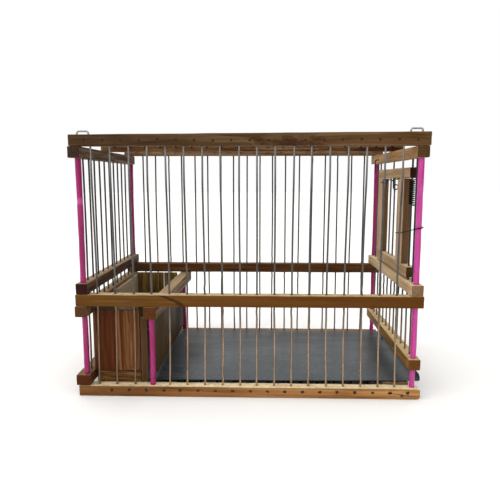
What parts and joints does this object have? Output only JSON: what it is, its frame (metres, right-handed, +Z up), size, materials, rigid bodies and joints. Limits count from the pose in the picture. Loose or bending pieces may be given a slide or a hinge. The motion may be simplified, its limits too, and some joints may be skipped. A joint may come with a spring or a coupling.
{
  "type": "wooden wire-bar bird cage",
  "caption": "Rectangular stacked-rail wooden bird cage with wire bars, straw spacers on its corner rods, an open nest box, a sprung side door and a pull-out tray.",
  "frame": {"origin": "centre of the footprint of the corner rods at floor level", "axes": "+X to the right along the front, +Y towards the back, +Z up"},
  "size_m": [0.3463, 0.2089, 0.2643],
  "materials": {
    "pale_wood": "planed pine, open grain, matt",
    "brown_wood": "aged brown softwood, matt",
    "dark_wood": "dark stained softwood, matt",
    "hardboard": "khaki hardboard, smooth and dull",
    "pink_straw": "thin pink drinking-straw plastic, glossy",
    "bright_wire": "drawn steel wire, worn bright",
    "dark_wire": "dark iron wire, oxidised",
    "tray_sheet": "galvanised sheet, dull blue-grey with soft shine"
  },
  "bodies": {
    "cage": {"bottom_front_rail": "pale_wood", "bottom_back_rail": "pale_wood", "bottom_left_rail": "brown_wood", "lower_right_rail": "pale_wood", "box_left_rail": "brown_wood", "box_right_rail": "pale_wood", "mid_front_rail": "brown_wood", "mid_back_rail": "dark_wood", "mid_left_rail": "dark_wood", "mid_right_rail": "pale_wood", "top_left_rail": "dark_wood", "top_right_rail": "brown_wood", "top_front_rail": "dark_wood", "top_middle_rail": "dark_wood", "top_back_rail": "dark_wood", "rod_front_left": "bright_wire", "rod_front_right": "bright_wire", "rod_back_left": "bright_wire", "rod_back_right": "bright_wire", "straw_upper_front_left": "pink_straw", "straw_upper_front_right": "pink_straw", "straw_upper_back_left": "pink_straw", "straw_upper_back_right": "pink_straw", "straw_lower_front_left": "pink_straw", "straw_lower_back_left": "pink_straw", "straw_lower_front_right": "pink_straw", "straw_lower_back_right": "pink_straw", "straw_slot_pair": "pink_straw", "straw_box_front": "pink_straw", "straw_box_back": "pink_straw", "front_bars": "bright_wire", "back_bars": "bright_wire", "left_bars": "bright_wire", "right_lower_bars": "bright_wire", "right_upper_bars": "bright_wire", "roof_bars": "bright_wire", "floor_bars": "bright_wire", "box_left_wall": "hardboard", "box_right_wall": "hardboard", "box_front_stile": "dark_wood", "box_front_board_left": "dark_wood", "box_front_board_right": "brown_wood", "box_front_foot": "brown_wood", "box_corner_strip": "hardboard", "box_back_boards": "dark_wood", "floor_strips": "pale_wood", "hinge_rod": "bright_wire", "door_spring": "dark_wire", "stop_wire": "dark_wire", "nails": "dark_wire"},
    "door": {"door_top_rail": "pale_wood", "door_bottom_rail": "pale_wood", "door_near_stile": "brown_wood", "door_far_stile": "brown_wood", "door_bars": "bright_wire", "door_tie_wire": "dark_wire", "door_spring_leg": "dark_wire"},
    "latch_pin": {"latch_pin": "dark_wire"},
    "tray": {"tray": "tray_sheet"},
    "catch": {"door_catch": "dark_wire"}
  },
  "joints": [
    {"name": "door_hinge", "type": "hinge", "parent": "cage", "child": "door", "pos_m": [0.163, -0.07, 0.17], "axis": [0, 0, -1], "range_deg": [0, 100], "stiffness_Nm_per_rad": 0.02, "springref_deg": -20.05},
    {"name": "latch_pin_slide", "type": "slide", "parent": "door", "child": "latch_pin", "axis": [0, 0, 1], "range_m": [0, 0.0055]},
    {"name": "tray_slide", "type": "slide", "parent": "cage", "child": "tray", "axis": [1, 0, 0], "range_m": [0, 0.28]},
    {"name": "catch_swing", "type": "hinge", "parent": "cage", "child": "catch", "pos_m": [0.157, 0.057, 0.24], "axis": [1, 0, 0], "range_deg": [-60, 60]}
  ]
}
